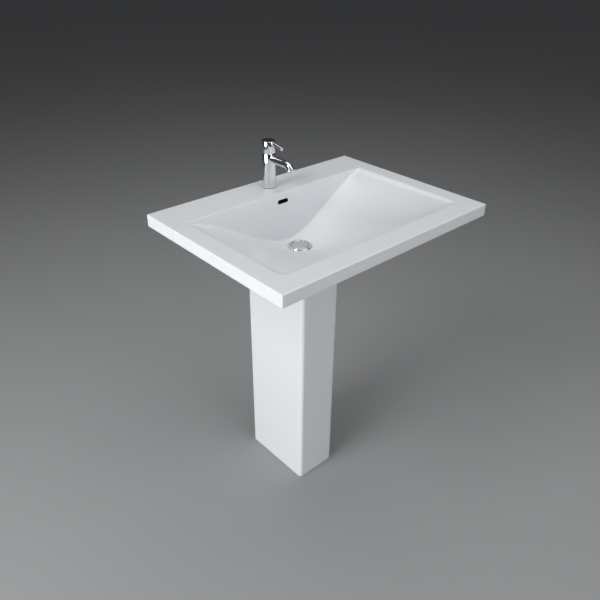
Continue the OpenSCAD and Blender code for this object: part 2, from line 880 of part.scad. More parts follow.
module trap_inlet_nut() {
    color(plastic)
        at_drain()
            difference() {
                ring(trap_nut_r, waste_r + slip, trap_top_z - 6, waste_end_z + 10);
                for (a = [0:30:359])
                    rotate([0, 0, a])
                        translate([trap_nut_r + 1, 0, trap_top_z - 6 - over])
                            cylinder(r = 2.2, h = 50, $fn = 24);
            }
}

module trap_inlet_seal() {
    color(rubber) at_drain() ring(waste_r - 0.5, waste_bore_r, waste_end_z - 3, waste_end_z);
}

// Head of the bottle trap with its side outlet
module trap_body() {
    color(plastic)
        at_drain()
            difference() {
                union() {
                    translate([0, 0, trap_head_z - 14]) cylinder(r = trap_head_r, h = trap_top_z - 8 - trap_head_z + 14);
                    translate([0, 0, trap_top_z - 9]) cylinder(r = waste_r - 0.3, h = 12);
                    translate([0, 0, outlet_z]) rod_y(17.5, 0, trap_nut_r + 3);
                    translate([0, 0, outlet_z]) rod_y(19, trap_nut_r + 1, outlet_nut_y - drain_y + 16);
                }
                translate([0, 0, trap_head_z - 14 - over])
                    cylinder(r = trap_head_r - 2.5, h = trap_top_z - trap_head_z + 3);
                translate([0, 0, outlet_z]) rod_y(outlet_d / 2 - 2, 0, wall_y);
                translate([0, 0, outlet_z])
                    rod_y(outlet_d / 2 + slip, outlet_nut_y - drain_y, outlet_nut_y - drain_y + 20);
                translate([0, 0, trap_head_z - 15]) cylinder(r = waste_bore_r + slip, h = 80);
            }
}

module trap_dip_tube() {
    color(plastic)
        at_drain() {
            ring(waste_bore_r, waste_bore_r - 1.6, dip_end_z, waste_end_z - 6);
            ring(waste_r - 0.5, waste_bore_r - 1.6, waste_end_z - 10, waste_end_z - 3);
        }
}

module trap_cup() {
    color(plastic)
        at_drain()
            difference() {
                union() {
                    translate([0, 0, cup_z + 6]) cylinder(r = cup_r, h = trap_head_z - cup_z - 6);
                    translate([0, 0, cup_z]) cylinder(r1 = cup_r - 6, r2 = cup_r, h = 6);
                }
                translate([0, 0, cup_z + 6]) cylinder(r = cup_r - cup_t, h = 100);
                translate([0, 0, cup_z + cup_t]) cylinder(r1 = cup_r - 6 - cup_t, r2 = cup_r - cup_t, h = 6 - cup_t + 0.01);
                for (a = [0:20:359])
                    rotate([0, 0, a])
                        translate([cup_r + 1.4, 0, trap_head_z - 20]) cylinder(r = 2, h = 40, $fn = 24);
            }
}

module trap_cup_seal() {
    color(rubber)
        at_drain() ring(cup_r - cup_t, trap_head_r + slip, trap_head_z - 8, trap_head_z - 4);
}

module trap_outlet_nut() {
    color(plastic)
        translate([0, outlet_nut_y, outlet_z])
            difference() {
                rod_y(23, 2, 22);
                rod_y(19 + slip, 1, 19);
                rod_y(outlet_d / 2 + slip, 1, 30);
                for (a = [0:30:359])
                    rotate([0, a, 0])
                        translate([24, 0, 0]) rod_y(2, 0, 30);
            }
}

module trap_outlet_seal() {
    color(rubber)
        translate([0, outlet_nut_y, outlet_z])
            difference() {
                rod_y(18.5, 16, 19);
                rod_y(outlet_d / 2 - 0.4 + slip, 15, 20);
            }
}

module outlet_pipe() {
    color(plastic)
        translate([0, 0, outlet_z])
            difference() {
                union() {
                    // turned down where it slides into the nut
                    rod_y(outlet_d / 2 - 0.4, outlet_nut_y + slip, wall_y - outlet_free + over);
                    rod_y(outlet_d / 2, wall_y - outlet_free, wall_y);
                }
                rod_y(outlet_d / 2 - 2, outlet_nut_y - over, wall_y + over);
            }
}

basin();
pedestal();
pedestal_pads();
tap_base_seal();
tap_body();
spout();
aerator_sleeve();
aerator_insert();
cartridge_housing();
cartridge_nut();
cartridge_rotor();
hinge_pin();
cartridge_stem();
handle_drum();
handle_lever();
handle_grub_screw();
indicator_plug();
fixing_stud();
fixing_rubber();
fixing_washer();
fixing_nut();
tail_hot();
tail_cold();
tail_nuts();
valve_body_hot();
valve_ball_hot();
valve_spindle_hot();
valve_body_cold();
valve_ball_cold();
valve_spindle_cold();
inlet_nuts();
waste_body();
waste_top_seal();
waste_bottom_seal();
waste_back_nut();
plug_head();
plug_seal();
plug_spindle();
plug_guide();
trap_inlet_nut();
trap_inlet_seal();
trap_body();
trap_dip_tube();
trap_cup();
trap_cup_seal();
trap_outlet_nut();
trap_outlet_seal();
outlet_pipe();
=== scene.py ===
from math import atan2, cos, pi, radians, sin, sqrt, tan

import bmesh
import bpy
import numpy as np
from mathutils import Matrix, Vector


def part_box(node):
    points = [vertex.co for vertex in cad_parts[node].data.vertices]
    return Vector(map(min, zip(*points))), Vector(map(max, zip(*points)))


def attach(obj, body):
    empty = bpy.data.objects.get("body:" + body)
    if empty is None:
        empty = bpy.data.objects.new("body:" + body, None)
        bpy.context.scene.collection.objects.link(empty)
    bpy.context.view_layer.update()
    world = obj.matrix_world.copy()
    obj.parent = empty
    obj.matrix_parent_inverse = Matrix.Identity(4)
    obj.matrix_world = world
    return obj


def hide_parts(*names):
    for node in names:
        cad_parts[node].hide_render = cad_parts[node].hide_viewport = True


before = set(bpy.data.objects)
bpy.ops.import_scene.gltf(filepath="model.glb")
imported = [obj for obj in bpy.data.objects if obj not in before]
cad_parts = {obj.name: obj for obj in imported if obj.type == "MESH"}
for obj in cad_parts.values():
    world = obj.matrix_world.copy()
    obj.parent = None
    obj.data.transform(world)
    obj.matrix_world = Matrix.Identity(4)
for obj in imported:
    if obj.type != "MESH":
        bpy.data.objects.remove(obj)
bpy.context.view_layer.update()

MM = 0.001
scene = bpy.context.scene


# ---------- places from the frame, in millimetres ----------

def box_mm(*nodes):
    """Lowest and highest corner of one or more CAD nodes."""
    boxes = [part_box(node) for node in nodes]
    low = np.min([np.array(b[0]) for b in boxes], axis=0)
    high = np.max([np.array(b[1]) for b in boxes], axis=0)
    return low * 1000, high * 1000


basin_lo, basin_hi = box_mm("basin")
ped_lo, ped_hi = box_mm("pedestal")
tap_lo, tap_hi = box_mm("tap_body")
waste_lo, waste_hi = box_mm("waste_body")

rim_z = basin_hi[2]
half_x = (basin_hi[0] - basin_lo[0]) / 2
wall_y = basin_hi[1]
front_y = basin_lo[1]
tap_y = (tap_lo[1] + tap_hi[1]) / 2
drain_y = (waste_lo[1] + waste_hi[1]) / 2

china_t = 14                   # thickness of the basin's china
apron_h = 30                   # height of the edge that hangs round the basin
bowl_half = 283                # half width of the bowl's opening
bowl_front = front_y + 49      # front edge of the opening
bowl_rear = wall_y - 100       # upper edge of the bowl's rear wall
bowl_corner_r = 25             # front corners of the opening, seen from above
bowl_depth = 123
floor_z = rim_z - bowl_depth   # floor of the bowl at the waste
lip_drop = 4                   # fall of the soft lip round the opening
lip_run = 20                   # width of that lip
wall_lean = 0.2                # how far the rear wall leans for each unit of height
slot_z = rim_z - 23            # middle of the overflow slot
under_z = rim_z - china_t      # underside of the deck
joint_depth = 7                # how far pieces under the basin reach up into its thickness
boss_low, boss_high = floor_z - 34, floor_z - 8   # boss round the waste
duct_front, duct_back = bowl_rear + 14, bowl_rear + 23   # upright overflow duct
duct_low = floor_z - 24
column_half, column_wall, column_corner_r = 64, 12, 11   # hollow section of the pedestal
pivot_h = 100                  # hinge of the tap's handle above the deck


# ---------- outlines and meshes ----------

def arc(centre, radius, start, end, steps):
    """Points on an arc in a plane, angles in degrees."""
    return [
        (centre[0] + radius * cos(radians(a)), centre[1] + radius * sin(radians(a)))
        for a in np.linspace(start, end, steps)
    ]


def quarter(radius, start, end, steps):
    """A rounded edge as pairs (radius less its cosine part, radius less its sine part)."""
    return [
        (radius * (1 - cos(radians(a))), radius * (1 - sin(radians(a))))
        for a in np.linspace(start, end, steps)
    ]


def rounded(points, radii, closed=True, steps=6):
    """A polyline with its corners turned into arcs. radii is one radius or one for each corner."""
    nearly_straight = radians(89.5)
    result = []
    count = len(points)
    for i, p in enumerate(points):
        radius = radii[i] if hasattr(radii, "__len__") else radii
        end = not closed and i in (0, count - 1)
        if radius <= 0 or end:
            result.append(tuple(p))
            continue
        here = Vector(p)
        back = (Vector(points[i - 1]) - here).normalized()
        ahead = (Vector(points[(i + 1) % count]) - here).normalized()
        half = back.angle(ahead) / 2
        if half > nearly_straight:
            result.append(tuple(p))
            continue
        reach = radius / tan(half)
        centre = here + (back + ahead).normalized() * (radius / sin(half))
        first, last = here + back * reach - centre, here + ahead * reach - centre
        turn = atan2(first.x * last.y - first.y * last.x, first.dot(last))
        for k in range(steps):
            a = turn * k / (steps - 1)
            result.append((
                centre.x + first.x * cos(a) - first.y * sin(a),
                centre.y + first.x * sin(a) + first.y * cos(a),
            ))
    return result


def shade(mesh, sharp=35):
    """Smooth faces with hard edges above an angle, and normals that point out."""
    work = bmesh.new()
    work.from_mesh(mesh)
    bmesh.ops.recalc_face_normals(work, faces=work.faces)
    work.to_mesh(mesh)
    work.free()
    for face in mesh.polygons:
        face.use_smooth = True
    mesh.set_sharp_from_angle(angle=radians(sharp))


def make(name, points, faces, finish):
    """A mesh object from points in millimetres."""
    mesh = bpy.data.meshes.new(name)
    mesh.from_pydata((np.asarray(points, dtype=float) * MM).tolist(), [], faces)
    shade(mesh)
    mesh.materials.append(finish)
    obj = bpy.data.objects.new(name, mesh)
    scene.collection.objects.link(obj)
    return obj


def ring_faces(low, high, count, flip=False):
    """Quads between two closed rings that start at these vertex numbers."""
    faces = []
    for i in range(count):
        j = (i + 1) % count
        quad = (low + i, low + j, high + j, high + i)
        faces.append(quad[::-1] if flip else quad)
    return faces


def lathe(profile, steps=96, closed=False, shape=None):
    """Points and faces of a piece turned about +Z from (radius, height) pairs. shape(row, radii,
    heights, angles) may give the points of a row other radii and heights."""
    angles = np.arange(steps) * 2 * pi / steps
    points, faces, rows = [], [], []
    for row, (radius, height) in enumerate(profile):
        if radius < 1e-6:
            rows.append((len(points), 1))
            points.append((0, 0, height))
            continue
        r, h = np.full(steps, float(radius)), np.full(steps, float(height))
        if shape:
            r, h = shape(row, r, h, angles)
        rows.append((len(points), steps))
        points.extend(zip(r * np.cos(angles), r * np.sin(angles), h))
    pairs = list(zip(rows[:-1], rows[1:]))
    if closed:
        pairs.append((rows[-1], rows[0]))
    for (a, na), (b, nb) in pairs:
        if na == 1 and nb == 1:
            continue
        if na == 1:
            faces.extend((a, b + (i + 1) % steps, b + i) for i in range(steps))
        elif nb == 1:
            faces.extend((a + i, a + (i + 1) % steps, b) for i in range(steps))
        else:
            faces.extend(ring_faces(a, b, steps))
    if not closed:
        for (start, count), last in ((rows[0], False), (rows[-1], True)):
            if count > 1:
                cap = tuple(range(start, start + count))
                faces.append(cap if last else cap[::-1])
    return points, faces


def placed(points, origin, axis=(0, 0, 1), side=None):
    """Points turned from +Z to an axis and moved to an origin. side is where +X goes."""
    z = Vector(axis).normalized()
    if side is None:
        turn = Vector((0, 0, 1)).rotation_difference(z).to_matrix()
    else:
        x = Vector(side).normalized()
        y = z.cross(x)
        turn = Matrix((x, y, z)).transposed()
    return np.asarray(points) @ np.array(turn).T + np.asarray(origin, dtype=float)


def turned(name, profile, origin, finish, axis=(0, 0, 1), steps=96, closed=False, shape=None):
    """A turned piece as an object."""
    points, faces = lathe(profile, steps, closed, shape)
    return make(name, placed(points, origin, axis), faces, finish)


def inset_outline(outline, distance):
    """A closed outline moved inwards, with its corners kept."""
    p = np.asarray(outline, dtype=float)
    edge = np.roll(p, -1, axis=0) - p
    edge /= np.linalg.norm(edge, axis=1)[:, None]
    normal = np.stack([-edge[:, 1], edge[:, 0]], axis=1)
    area = np.sum(p[:, 0] * np.roll(p[:, 1], -1) - np.roll(p[:, 0], -1) * p[:, 1])
    if area < 0:
        normal = -normal
    before = np.roll(normal, 1, axis=0)
    longest = 5
    miter = normal + before
    miter /= np.maximum(1 / longest, np.sum(miter * normal, axis=1))[:, None]
    return p + miter * distance


def tube_faces(rings, count):
    """Faces of a closed skin over rings of points, one after the other, with both ends capped."""
    faces = []
    for k in range(rings - 1):
        faces.extend(ring_faces(k * count, (k + 1) * count, count))
    faces.append(tuple(range(count))[::-1])
    faces.append(tuple(range((rings - 1) * count, rings * count)))
    return faces


def prism(outline, z0, z1, edge_r=1.5, steps=5):
    """Points and faces of an upright block with rounded upper and lower edges."""
    rings = [(inset, z0 + up) for inset, up in quarter(edge_r, 90, 0, steps)]
    rings += [(inset, z1 - down) for inset, down in quarter(edge_r, 0, 90, steps)]
    points = []
    for inset, z in rings:
        points.extend((x, y, z) for x, y in inset_outline(outline, inset))
    return points, tube_faces(len(rings), len(outline))


def block(low, high, edge_r=1.5):
    """Points and faces of a box between two corners, with rounded edges."""
    corners = [(low[0], low[1]), (high[0], low[1]), (high[0], high[1]), (low[0], high[1])]
    return prism(rounded(corners, edge_r * 1.2, steps=4), low[2], high[2], edge_r, 4)


def along_path(path, radii, steps, up):
    """Points and faces of a round bar along a flat path. up is square to the path's plane."""
    path = np.asarray(path, dtype=float)
    up = np.asarray(up, dtype=float)
    tangent = np.gradient(path, axis=0)
    tangent /= np.linalg.norm(tangent, axis=1)[:, None]
    side = np.cross(tangent, up)
    angles = np.arange(steps) * 2 * pi / steps
    points = []
    for centre, across, radius in zip(path, side, radii):
        points.extend(centre + radius * (cos(a) * across + sin(a) * up) for a in angles)
    return points, tube_faces(len(path), steps)


def combine(target, others, operation):
    """Joins the others to the target, or cuts them from it, and removes them."""
    for other in others:
        step = target.modifiers.new(operation.title(), "BOOLEAN")
        step.operation = operation
        step.solver = "MANIFOLD"
        step.object = other
    bpy.context.view_layer.update()
    result = target.evaluated_get(bpy.context.evaluated_depsgraph_get())
    mesh = bpy.data.meshes.new_from_object(result)
    target.modifiers.clear()
    old = target.data
    target.data = mesh
    bpy.data.meshes.remove(old)
    for other in others:
        bpy.data.objects.remove(other)
    return target


def weighted(obj):
    """Even normals on large faces beside small ones."""
    step = obj.modifiers.new("Weighted normals", "WEIGHTED_NORMAL")
    step.keep_sharp = True
    step.weight = 80
    return obj


def fit(obj, body, slot, *nodes):
    """Says which body a piece rides on and hides the CAD nodes that it stands for. slot is not used."""
    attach(obj, body)
    if nodes:
        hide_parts(*nodes)
    return obj


# ---------- finishes ----------

class Finish:
    """A material with its node tree and a few short ways to add nodes."""

    def __init__(self, name, **sockets):
        self.material = bpy.data.materials.new(name)
        self.material.use_nodes = True
        self.tree = self.material.node_tree
        self.shader = self.tree.nodes["Principled BSDF"]
        self.place = self.tree.nodes.new("ShaderNodeTexCoord").outputs["Object"]
        for socket, value in sockets.items():
            self.shader.inputs[socket.replace("_", " ")].default_value = value

    def link(self, source, target):
        self.tree.links.new(source, target)

    def node(self, kind, inputs=(), **settings):
        made = self.tree.nodes.new("ShaderNode" + kind)
        for key, value in settings.items():
            setattr(made, key, value)
        for key, value in dict(inputs).items():
            if isinstance(value, bpy.types.NodeSocket):
                self.link(value, made.inputs[key])
            else:
                made.inputs[key].default_value = value
        return made

    def stretched(self, scale):
        """Coordinates stretched by a factor along each axis."""
        return self.node("Mapping", {"Vector": self.place, "Scale": scale}).outputs["Vector"]

    def noise(self, scale, detail=2.0, roughness=0.5, place=None):
        return self.node("TexNoise", {
            "Vector": place or self.place, "Scale": scale, "Detail": detail, "Roughness": roughness,
        }).outputs["Fac"]

    def spread(self, value, low, high, to_low, to_high):
        """A value from one range to another, held at its ends."""
        return self.node("MapRange", {
            "Value": value, "From Min": low, "From Max": high, "To Min": to_low, "To Max": to_high,
        }).outputs["Result"]

    def mixed(self, share, first, second):
        made = self.node("Mix", data_type="RGBA")
        self.link(share, made.inputs[0])
        for index, value in ((6, first), (7, second)):
            if isinstance(value, bpy.types.NodeSocket):
                self.link(value, made.inputs[index])
            else:
                made.inputs[index].default_value = (*value, 1)
        return made.outputs[2]

    def height(self):
        """Height of a point above the floor, in metres."""
        return self.node("SeparateXYZ", {"Vector": self.place}).outputs["Z"]

    def bumps(self, *layers):
        """Bump layers of (height value, depth in metres), one over the other."""
        normal = None
        for value, depth in layers:
            made = self.node("Bump", {"Height": value, "Distance": depth, "Strength": 1.0})
            if normal:
                self.link(normal, made.inputs["Normal"])
            normal = made.outputs["Normal"]
        self.link(normal, self.shader.inputs["Normal"])

    def colour(self, value):
        self.link(value, self.shader.inputs["Base Color"])

    def roughness(self, value):
        self.link(value, self.shader.inputs["Roughness"])


def glazed_china(name, bare_below):
    """White glaze with a soft gloss and a faint flow, and bare clay below a height in metres."""
    f = Finish(name, IOR=1.5)
    clouds = f.noise(2.4, 1.0)
    glaze = f.mixed(f.spread(clouds, 0.2, 0.8, 0, 1), (0.835, 0.852, 0.876), (0.850, 0.864, 0.886))
    specks = f.noise(900, 1.0)
    glaze = f.mixed(f.spread(specks, 0.74, 0.80, 0, 0.25), glaze, (0.62, 0.60, 0.56))
    edge = f.node("Math", {0: f.height(), 1: f.spread(f.noise(60, 2.0), 0, 1, -0.0012, 0.0012)},
                  operation="ADD").outputs["Value"]
    bare = f.spread(edge, bare_below - 0.0006, bare_below + 0.0006, 1, 0)
    grain = f.noise(1400, 3.0)
    clay = f.mixed(grain, (0.60, 0.55, 0.47), (0.74, 0.70, 0.62))
    f.colour(f.mixed(bare, glaze, clay))
    gloss = f.spread(f.noise(5, 1.0), 0.2, 0.8, 0.27, 0.31)
    rough = f.node("Mix", {0: bare, 2: gloss, 3: 0.75}, data_type="FLOAT")
    f.roughness(rough.outputs[0])
    flow = f.noise(30, 1.0)
    pores = f.node("Math", {0: grain, 1: bare}, operation="MULTIPLY").outputs["Value"]
    f.bumps((flow, 0.00001), (pores, 0.0003))
    return f.material


def clay_with_painted_shade(name):
    """Fired clay where the glaze doesn't reach, painted near black and mottled as the shade inside the
    overflow.
    """
    f = Finish(name, IOR=1.45)
    shade_mottling = f.noise(90, 4.0, 0.6)
    # near-black colours: painted shade inside the overflow duct, mottled at random
    f.colour(f.mixed(f.spread(shade_mottling, 0.3, 0.7, 0, 1), (0.020, 0.019, 0.018), (0.05, 0.046, 0.042)))
    f.roughness(f.spread(shade_mottling, 0.2, 0.8, 0.8, 0.95))
    f.bumps((f.noise(1200, 3.0), 0.0002))
    return f.material


def polished_metal(name, dark, light, low, high, scratch=0.0000015):
    """Polished metal with faint wipe marks and hairline scratches."""
    f = Finish(name, Metallic=1.0)
    wipes = f.noise(38, 4.0, 0.6)
    f.colour(f.mixed(f.spread(wipes, 0.3, 0.7, 0, 1), dark, light))
    f.roughness(f.spread(wipes, 0.3, 0.75, low, high))
    lines = f.noise(2600, 2.0, 0.6, f.stretched((1, 1, 0.05)))
    f.bumps((lines, scratch))
    return f.material


def machined_brass(name):
    """Turned brass with tool rings and a dull, uneven skin."""
    f = Finish(name, Metallic=1.0)
    patches = f.noise(120, 4.0, 0.6)
    f.colour(f.mixed(f.spread(patches, 0.3, 0.7, 0, 1), (0.55, 0.40, 0.17), (0.80, 0.63, 0.31)))
    f.roughness(f.spread(patches, 0.3, 0.7, 0.22, 0.42))
    rings = f.noise(2200, 1.0, 0.5, f.stretched((0.05, 0.05, 1)))
    f.bumps((rings, 0.00002))
    return f.material


def drawn_copper(name):
    """Drawn copper tube, a little tarnished in patches, with fine lines along it."""
    f = Finish(name, Metallic=1.0)
    tarnish = f.noise(45, 5.0, 0.65)
    bright = f.mixed(f.spread(tarnish, 0.3, 0.6, 0, 1), (0.80, 0.42, 0.27), (0.62, 0.28, 0.16))
    f.colour(f.mixed(f.spread(tarnish, 0.62, 0.78, 0, 0.7), bright, (0.30, 0.15, 0.09)))
    f.roughness(f.spread(tarnish, 0.3, 0.8, 0.2, 0.5))
    f.bumps((f.noise(3000, 1.0, 0.5, f.stretched((1, 1, 0.03))), 0.000012))
    return f.material


def soft_rubber(name):
    """Black rubber with a dusty bloom and moulded grain."""
    f = Finish(name, IOR=1.5)
    bloom = f.noise(180, 4.0, 0.6)
    f.colour(f.mixed(f.spread(bloom, 0.4, 0.8, 0, 1), (0.016, 0.016, 0.018), (0.07, 0.07, 0.072)))
    f.roughness(f.spread(bloom, 0.2, 0.8, 0.55, 0.85))
    f.bumps((f.noise(2500, 2.0), 0.00003))
    return f.material


def moulded_plastic(name, dark, light, rough=0.3):
    """Injection-moulded plastic with flow marks and a fine spark-eroded grain."""
    f = Finish(name, IOR=1.46, Subsurface_Weight=0.04, Subsurface_Radius=(0.002, 0.002, 0.002))
    flow = f.noise(30, 3.0, 0.5, f.stretched((1, 1, 2.5)))
    f.colour(f.mixed(f.spread(flow, 0.3, 0.7, 0, 1), dark, light))
    f.roughness(f.spread(flow, 0.3, 0.7, rough - 0.05, rough + 0.1))
    f.bumps((f.noise(1800, 2.0), 0.000015), (f.noise(40, 1.0), 0.00004))
    return f.material


def enamel_dot(name):
    """Small red and blue enamel button, split down its middle."""
    f = Finish(name, IOR=1.5, Coat_Weight=0.8, Coat_Roughness=0.05)
    across = f.node("SeparateXYZ", {"Vector": f.place}).outputs["X"]
    half = f.spread(across, -0.00008, 0.00008, 0, 1)
    grain = f.noise(700, 3.0)
    red = f.mixed(grain, (0.62, 0.015, 0.012), (0.74, 0.03, 0.02))
    blue = f.mixed(grain, (0.012, 0.06, 0.50), (0.02, 0.10, 0.62))
    f.colour(f.mixed(half, red, blue))
    f.roughness(f.spread(grain, 0.3, 0.7, 0.25, 0.4))
    f.bumps((grain, 0.00001))
    return f.material


def plain_floor(name):
    """Pale, plain and matt studio floor."""
    f = Finish(name, IOR=1.45)
    f.colour(f.mixed(f.noise(0.7, 2.0), (0.37, 0.375, 0.38), (0.40, 0.405, 0.41)))
    f.roughness(f.spread(f.noise(3, 2.0), 0.3, 0.7, 0.75, 0.9))
    return f.material


china_basin = glazed_china("Glazed china of the basin", (basin_lo[2] + 1.5) * MM)
# near-black clay that paints the shade inside the overflow duct
duct_shade_clay = clay_with_painted_shade("Unglazed clay with painted shade inside the overflow")
china_pedestal = glazed_china("Glazed china of the pedestal", 0.0022)
chrome = polished_metal("Chrome plate", (0.74, 0.75, 0.77), (0.80, 0.81, 0.83), 0.04, 0.08)
steel = polished_metal("Stainless steel", (0.50, 0.50, 0.50), (0.62, 0.61, 0.60), 0.18, 0.32, 0.000006)
brass = machined_brass("Machined brass")
copper = drawn_copper("Copper tube")
rubber = soft_rubber("Black rubber")
white_plastic = moulded_plastic("White waste plastic", (0.74, 0.74, 0.72), (0.80, 0.80, 0.785))
grey_plastic = moulded_plastic("Cartridge plastic", (0.45, 0.46, 0.47), (0.54, 0.55, 0.56), 0.38)
dot = enamel_dot("Hot and cold enamel")


# ---------- surface of the bowl ----------

def ease(t):
    """Goes from 0 to 1 with a soft start and end."""
    t = np.clip(t, 0, 1)
    return t * t * (3 - 2 * t)


def soft(distance, reach):
    """Distance from an edge whose slope starts gently."""
    d = np.maximum(distance, 0)
    return np.where(d < reach, d * d / (2 * reach), d - reach / 2)


def cross_fall(u):
    """Share of the full fall across the width: 1 in the middle, 0 at the sides."""
    bend = 0.25
    span = sqrt(1 + bend * bend)
    u = np.clip(np.abs(u), 0, 1)
    return 0.25 * (1 + np.cos(pi * u)) + 0.5 * (span - np.sqrt(u * u + bend * bend)) / (span - bend)


def long_fall(v):
    """Share of the full fall from front to back: 0 at the front edge, 1 at the waste."""
    straight = 0.7
    rate = 2 / (1 + straight)
    v = np.maximum(v, 0)
    bend = 1 - rate * (1 - v) ** 2 / (2 * (1 - straight))
    return np.where(v <= straight, rate * v, np.where(v <= 1, bend, 1 - 0.9 * (v - 1) ** 2))


def half_width(y):
    """Half width of the bowl's opening, with its rounded front corners."""
    k = np.clip(bowl_corner_r - (y - bowl_front), 0, bowl_corner_r)
    return bowl_half - (bowl_corner_r - np.sqrt(bowl_corner_r ** 2 - k * k))


def edge_distance(x, y):
    """Distance to the outline of the opening at its front and sides."""
    dx, dy = bowl_half - np.abs(x), y - bowl_front
    r = bowl_corner_r
    in_corner = (dx < r) & (dy < r)
    return np.where(in_corner, r - np.hypot(r - dx, r - dy), np.minimum(dx, dy))


def foot_line(u):
    """Line in plan where the rear wall meets the floor."""
    return bowl_rear - wall_lean * (lip_drop + (bowl_depth - lip_drop) * cross_fall(u))


def smaller(a, b, k):
    """Smaller of two heights with a soft change between them."""
    h = np.maximum(k - np.abs(a - b), 0) / k
    return np.minimum(a, b) - h * h * k / 4


def bowl_floor(u, y, gentle):
    """Height of the bowl's floor, for a share of the half width and a place from front to back."""
    half = half_width(y)
    x = u * half
    side = soft(half * (1 - np.abs(u)), gentle)
    fall = cross_fall(1 - side / half) * long_fall(soft(y - bowl_front, gentle) / (drain_y - bowl_front))
    lip = lip_drop * ease(np.maximum(edge_distance(x, y), 0) / lip_run)
    z = rim_z - lip - (bowl_depth - lip_drop) * fall
    away = np.hypot(x, y - drain_y)
    dish = floor_z + 0.6 * soft(away - 31, 6)
    return smaller(z, dish, 3.0)


def smoothed(path, places, widths):
    """Points at given distances along a fine path, averaged over a width that may vary."""
    path = np.asarray(path)
    steps = np.linalg.norm(np.diff(path, axis=0), axis=1)
    along = np.concatenate([[0], np.cumsum(steps)])
    weight = np.exp(-0.5 * ((along[None, :] - places[:, None]) / widths[:, None]) ** 2)
    weight *= np.gradient(along)[None, :]
    weight /= weight.sum(axis=1)[:, None]
    return weight @ path


crease_lead = 14   # how far in front of the rear wall's foot its fine section starts


def crease(u, grow, drop, gentle, flat_z, soft_foot, soft_ledge, count):
    """Section through the foot of the rear wall, the wall and the ledge, for one column of a sheet."""
    tail, spare = 8.0, 14.0
    foot = foot_line(u)
    y = np.linspace(foot - crease_lead - spare, foot, 90)
    shift = grow * (2 * (y - bowl_front) / (foot - bowl_front) - 1)
    floor = np.stack([y + shift, bowl_floor(u, y, gentle) - drop], axis=1)
    foot_point = floor[-1]
    rise = max(flat_z - foot_point[1], 0.02)
    full_wall = 12
    if rise > full_wall:
        top_y = bowl_rear + grow + (flat_z - rim_z) * wall_lean
    else:
        top_y = foot_point[0] + wall_lean * rise
    wall = np.linspace(foot_point, (top_y, flat_z), 160)[1:]
    deck = np.linspace((top_y, flat_z), (top_y + tail + spare, flat_z), 70)[1:]
    path = np.concatenate([floor, wall, deck])
    length = np.concatenate([[0], np.cumsum(np.linalg.norm(np.diff(path, axis=0), axis=1))])
    at_foot, at_ledge = length[len(floor) - 1], length[len(floor) + len(wall) - 1]
    near = np.minimum(np.abs(length - at_foot) / soft_foot, np.abs(length - at_ledge) / soft_ledge)
    density = 1 / (0.35 + 0.22 * near)
    inside = (length >= at_foot - crease_lead) & (length <= at_ledge + tail)
    total = np.cumsum(density * np.gradient(length) * inside)
    total, length = total[inside], length[inside]
    places = np.interp(np.linspace(total[0], total[-1], count), total, length)
    share = np.clip((places - at_foot) / max(at_ledge - at_foot, 0.01), 0, 1)
    edge_fade = min(1.0, 0.25 + rise / 30)
    widths = (soft_foot * (1 - share) + soft_ledge * share) * edge_fade
    return smoothed(path, places, widths)


def sheet(grow, drop, gentle, flat_z, x_end, y_end, soft_foot, soft_ledge):
    """Grid of points of one face of the basin: rim, lip, floor, rear wall, ledge and deck. grow and
    drop set it off from the bowl's own surface. gentle, soft_foot and soft_ledge soften its bends."""
    pitch, floor_length = 5, 270
    rim_cols, rim_rows, crease_rows, deck_rows = 5, 6, 34, 13
    lip = [0, 1.5, 3, 4.5, 6, 7.5, 9, 10.5, 12, 14, 17, 21, 26]
    past_lip = np.linspace(lip[-1], bowl_half, int((bowl_half - lip[-1]) / pitch) + 1)[1:]
    inner = np.concatenate([lip, past_lip])
    shares = 1 - inner / bowl_half
    u_cols = np.concatenate([-shares, shares[::-1][1:]])
    floor_steps = np.linspace(0, 1, int(floor_length / pitch))
    rows_y, rows_z = [], []
    for u in u_cols:
        foot = foot_line(u)
        front_rows = np.linspace(-y_end, bowl_front - grow, rim_rows + 1)[:-1]
        near = bowl_front + np.array(lip)
        far = near[-1] + (foot - crease_lead - near[-1]) * floor_steps[1:-1]
        y = np.concatenate([near, far])
        z = bowl_floor(u, y, gentle) - drop(u, y)
        y = y + grow * (2 * (y - bowl_front) / (foot - bowl_front) - 1)
        foot_drop = drop(u, np.array([foot]))[0]
        section = crease(u, grow, foot_drop, gentle, flat_z, soft_foot, soft_ledge, crease_rows)
        back_rows = np.linspace(section[-1, 0], y_end, deck_rows + 1)[1:]
        rows_y.append(np.concatenate([front_rows, y, section[:, 0], back_rows]))
        rows_z.append(np.concatenate([
            np.full(len(front_rows), flat_z), z, section[:, 1], np.full(len(back_rows), flat_z)]))
    rows_y, rows_z = np.array(rows_y).T, np.array(rows_z).T
    half = half_width(rows_y) + grow
    x = half * u_cols[None, :]
    first_y, last_y = rows_y[:, :1], rows_y[:, -1:]
    steps = np.linspace(1, 0, rim_cols + 1)[:-1]
    left = -(half[:, :1] + (x_end - half[:, :1]) * steps[None, :])
    grid_x = np.concatenate([left, x, -left[:, ::-1]], axis=1)
    grid_y = np.concatenate([first_y.repeat(rim_cols, 1), rows_y, last_y.repeat(rim_cols, 1)], axis=1)
    flat = np.full((len(rows_y), rim_cols), float(flat_z))
    grid_z = np.concatenate([flat, rows_z, flat], axis=1)
    return np.stack([grid_x, grid_y, grid_z], axis=2)


